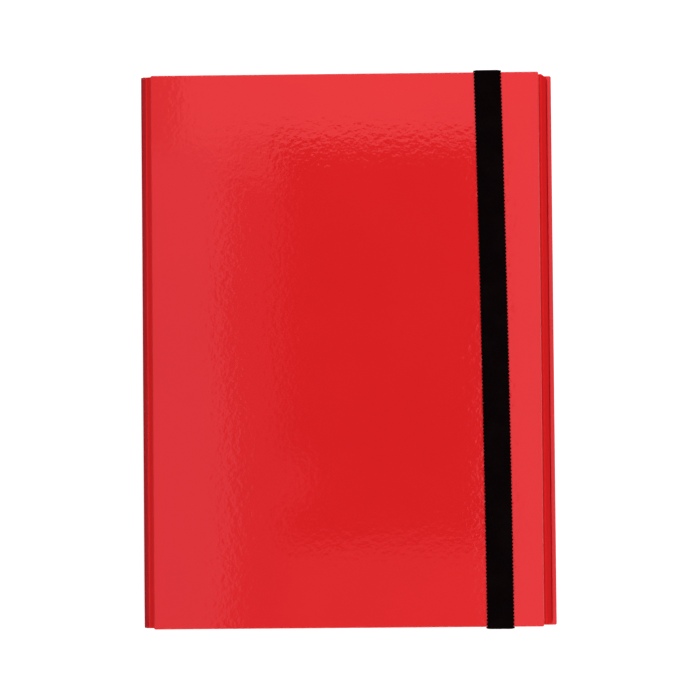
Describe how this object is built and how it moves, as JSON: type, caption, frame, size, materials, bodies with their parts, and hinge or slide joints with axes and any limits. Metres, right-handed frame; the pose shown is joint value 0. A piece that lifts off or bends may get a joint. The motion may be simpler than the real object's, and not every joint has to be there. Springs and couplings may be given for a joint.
{
  "type": "trading card binder",
  "caption": "Slim glossy red hard-cover ring binder of nine-pocket card leaves, with a fore-edge guard and a black elastic closing band.",
  "frame": {"origin": "middle of the footprint, on the surface that the back cover lies on", "axes": "+X from the spine to the fore-edge, +Y from tail to head, +Z from the back cover to the front cover"},
  "size_m": [0.238, 0.3228, 0.0273],
  "materials": {
    "glossy_red_paper": "high gloss laminated paper with a slight orange-peel",
    "greyboard": "grey pressed board",
    "lining_paper": "smooth uncoated paper",
    "nickel_steel": "bright nickel plate",
    "pocket_film": "clear pocket film over a black centre sheet",
    "binding_film": "embossed black binding strip",
    "elastic_webbing": "ribbed woven elastic"
  },
  "bodies": {
    "back_cover": {"back_board": "greyboard", "back_cover_wrap": "glossy_red_paper", "back_cover_crease": "glossy_red_paper", "back_lining": "lining_paper", "elastic_rivets": "nickel_steel"},
    "spine": {"spine_board": "greyboard", "spine_wrap": "glossy_red_paper", "spine_lining": "lining_paper", "spine_foot_crease": "glossy_red_paper", "spine_top_crease": "glossy_red_paper", "plate_rivets": "nickel_steel", "ring_plate": "nickel_steel", "lever_pins": "nickel_steel"},
    "front_cover": {"front_board": "greyboard", "front_cover_wrap": "glossy_red_paper", "front_lining": "lining_paper", "front_cover_crease": "glossy_red_paper"},
    "fore_edge_guard": {"guard_board": "greyboard", "guard_wrap": "glossy_red_paper"},
    "front_ring_half": {"front_ring_rail": "nickel_steel", "front_ring_prongs": "nickel_steel"},
    "rear_ring_half": {"rear_ring_rail": "nickel_steel", "rear_ring_prongs": "nickel_steel"},
    "head_lever": {"head_lever": "nickel_steel"},
    "tail_lever": {"tail_lever": "nickel_steel"},
    "elastic": {"elastic_band": "elastic_webbing"},
    "leaf_1": {"leaf_1_binding": "binding_film", "leaf_1_pockets": "pocket_film"},
    "leaf_2": {"leaf_2_binding": "binding_film", "leaf_2_pockets": "pocket_film"},
    "leaf_3": {"leaf_3_binding": "binding_film", "leaf_3_pockets": "pocket_film"},
    "leaf_4": {"leaf_4_binding": "binding_film", "leaf_4_pockets": "pocket_film"},
    "leaf_5": {"leaf_5_binding": "binding_film", "leaf_5_pockets": "pocket_film"},
    "leaf_6": {"leaf_6_binding": "binding_film", "leaf_6_pockets": "pocket_film"},
    "leaf_7": {"leaf_7_binding": "binding_film", "leaf_7_pockets": "pocket_film"},
    "leaf_8": {"leaf_8_binding": "binding_film", "leaf_8_pockets": "pocket_film"}
  },
  "joints": [
    {"name": "spine_hinge", "type": "hinge", "parent": "back_cover", "child": "spine", "pos_m": [-0.119, 0, 0], "axis": [0, -1, 0], "range_deg": [0, 90]},
    {"name": "front_cover_hinge", "type": "hinge", "parent": "spine", "child": "front_cover", "pos_m": [-0.1156, 0, 0.02463], "axis": [0, -1, 0], "range_deg": [0, 90.4]},
    {"name": "guard_hinge", "type": "hinge", "parent": "back_cover", "child": "fore_edge_guard", "pos_m": [0.1165, 0, 0.0029], "axis": [0, 1, 0], "range_deg": [0, 100]},
    {"name": "head_lever_press", "type": "hinge", "parent": "spine", "child": "head_lever", "pos_m": [-0.1137, 0.1445, 0.013], "axis": [0, 0, 1], "range_deg": [0, 30]},
    {"name": "tail_lever_press", "type": "hinge", "parent": "spine", "child": "tail_lever", "pos_m": [-0.1137, -0.1445, 0.013], "axis": [0, 0, -1], "range_deg": [0, 30]},
    {"name": "front_rings_open", "type": "hinge", "parent": "spine", "child": "front_ring_half", "pos_m": [-0.1144, 0, 0.013], "axis": [0, -1, 0], "range_deg": [0, 10]},
    {"name": "rear_rings_open", "type": "hinge", "parent": "spine", "child": "rear_ring_half", "pos_m": [-0.1144, 0, 0.013], "axis": [0, 1, 0], "range_deg": [0, 10]},
    {"name": "elastic_pull", "type": "slide", "parent": "back_cover", "child": "elastic", "axis": [1, 0, 0], "range_m": [0, 0.055], "stiffness_N_per_m": 40, "deforming": ["elastic_band"]},
    {"name": "leaf_1_turn", "type": "hinge", "parent": "spine", "child": "leaf_1", "pos_m": [-0.10685, 0, 0.013], "axis": [0, -1, 0], "range_deg": [-90, 0]},
    {"name": "leaf_2_turn", "type": "hinge", "parent": "spine", "child": "leaf_2", "pos_m": [-0.10685, 0, 0.013], "axis": [0, -1, 0], "range_deg": [-90, 0]},
    {"name": "leaf_3_turn", "type": "hinge", "parent": "spine", "child": "leaf_3", "pos_m": [-0.10685, 0, 0.013], "axis": [0, -1, 0], "range_deg": [-90, 0]},
    {"name": "leaf_4_turn", "type": "hinge", "parent": "spine", "child": "leaf_4", "pos_m": [-0.10685, 0, 0.013], "axis": [0, -1, 0], "range_deg": [-90, 0]},
    {"name": "leaf_5_turn", "type": "hinge", "parent": "spine", "child": "leaf_5", "pos_m": [-0.10685, 0, 0.013], "axis": [0, -1, 0], "range_deg": [0, 92]},
    {"name": "leaf_6_turn", "type": "hinge", "parent": "spine", "child": "leaf_6", "pos_m": [-0.10685, 0, 0.013], "axis": [0, -1, 0], "range_deg": [0, 92]},
    {"name": "leaf_7_turn", "type": "hinge", "parent": "spine", "child": "leaf_7", "pos_m": [-0.10685, 0, 0.013], "axis": [0, -1, 0], "range_deg": [0, 92]},
    {"name": "leaf_8_turn", "type": "hinge", "parent": "spine", "child": "leaf_8", "pos_m": [-0.10685, 0, 0.013], "axis": [0, -1, 0], "range_deg": [0, 92]}
  ],
  "couplings": [
    {"joint": "tail_lever_press", "follows": "head_lever_press", "ratio": 1},
    {"joint": "front_rings_open", "follows": "head_lever_press", "ratio": 0.3333},
    {"joint": "rear_rings_open", "follows": "head_lever_press", "ratio": 0.3333},
    {"joint": "leaf_1_turn", "follows": "spine_hinge", "ratio": -1},
    {"joint": "leaf_2_turn", "follows": "spine_hinge", "ratio": -1},
    {"joint": "leaf_3_turn", "follows": "spine_hinge", "ratio": -1},
    {"joint": "leaf_4_turn", "follows": "spine_hinge", "ratio": -1},
    {"joint": "leaf_5_turn", "follows": "front_cover_hinge", "ratio": 1.01},
    {"joint": "leaf_6_turn", "follows": "front_cover_hinge", "ratio": 1.01},
    {"joint": "leaf_7_turn", "follows": "front_cover_hinge", "ratio": 1.01},
    {"joint": "leaf_8_turn", "follows": "front_cover_hinge", "ratio": 1.01}
  ]
}
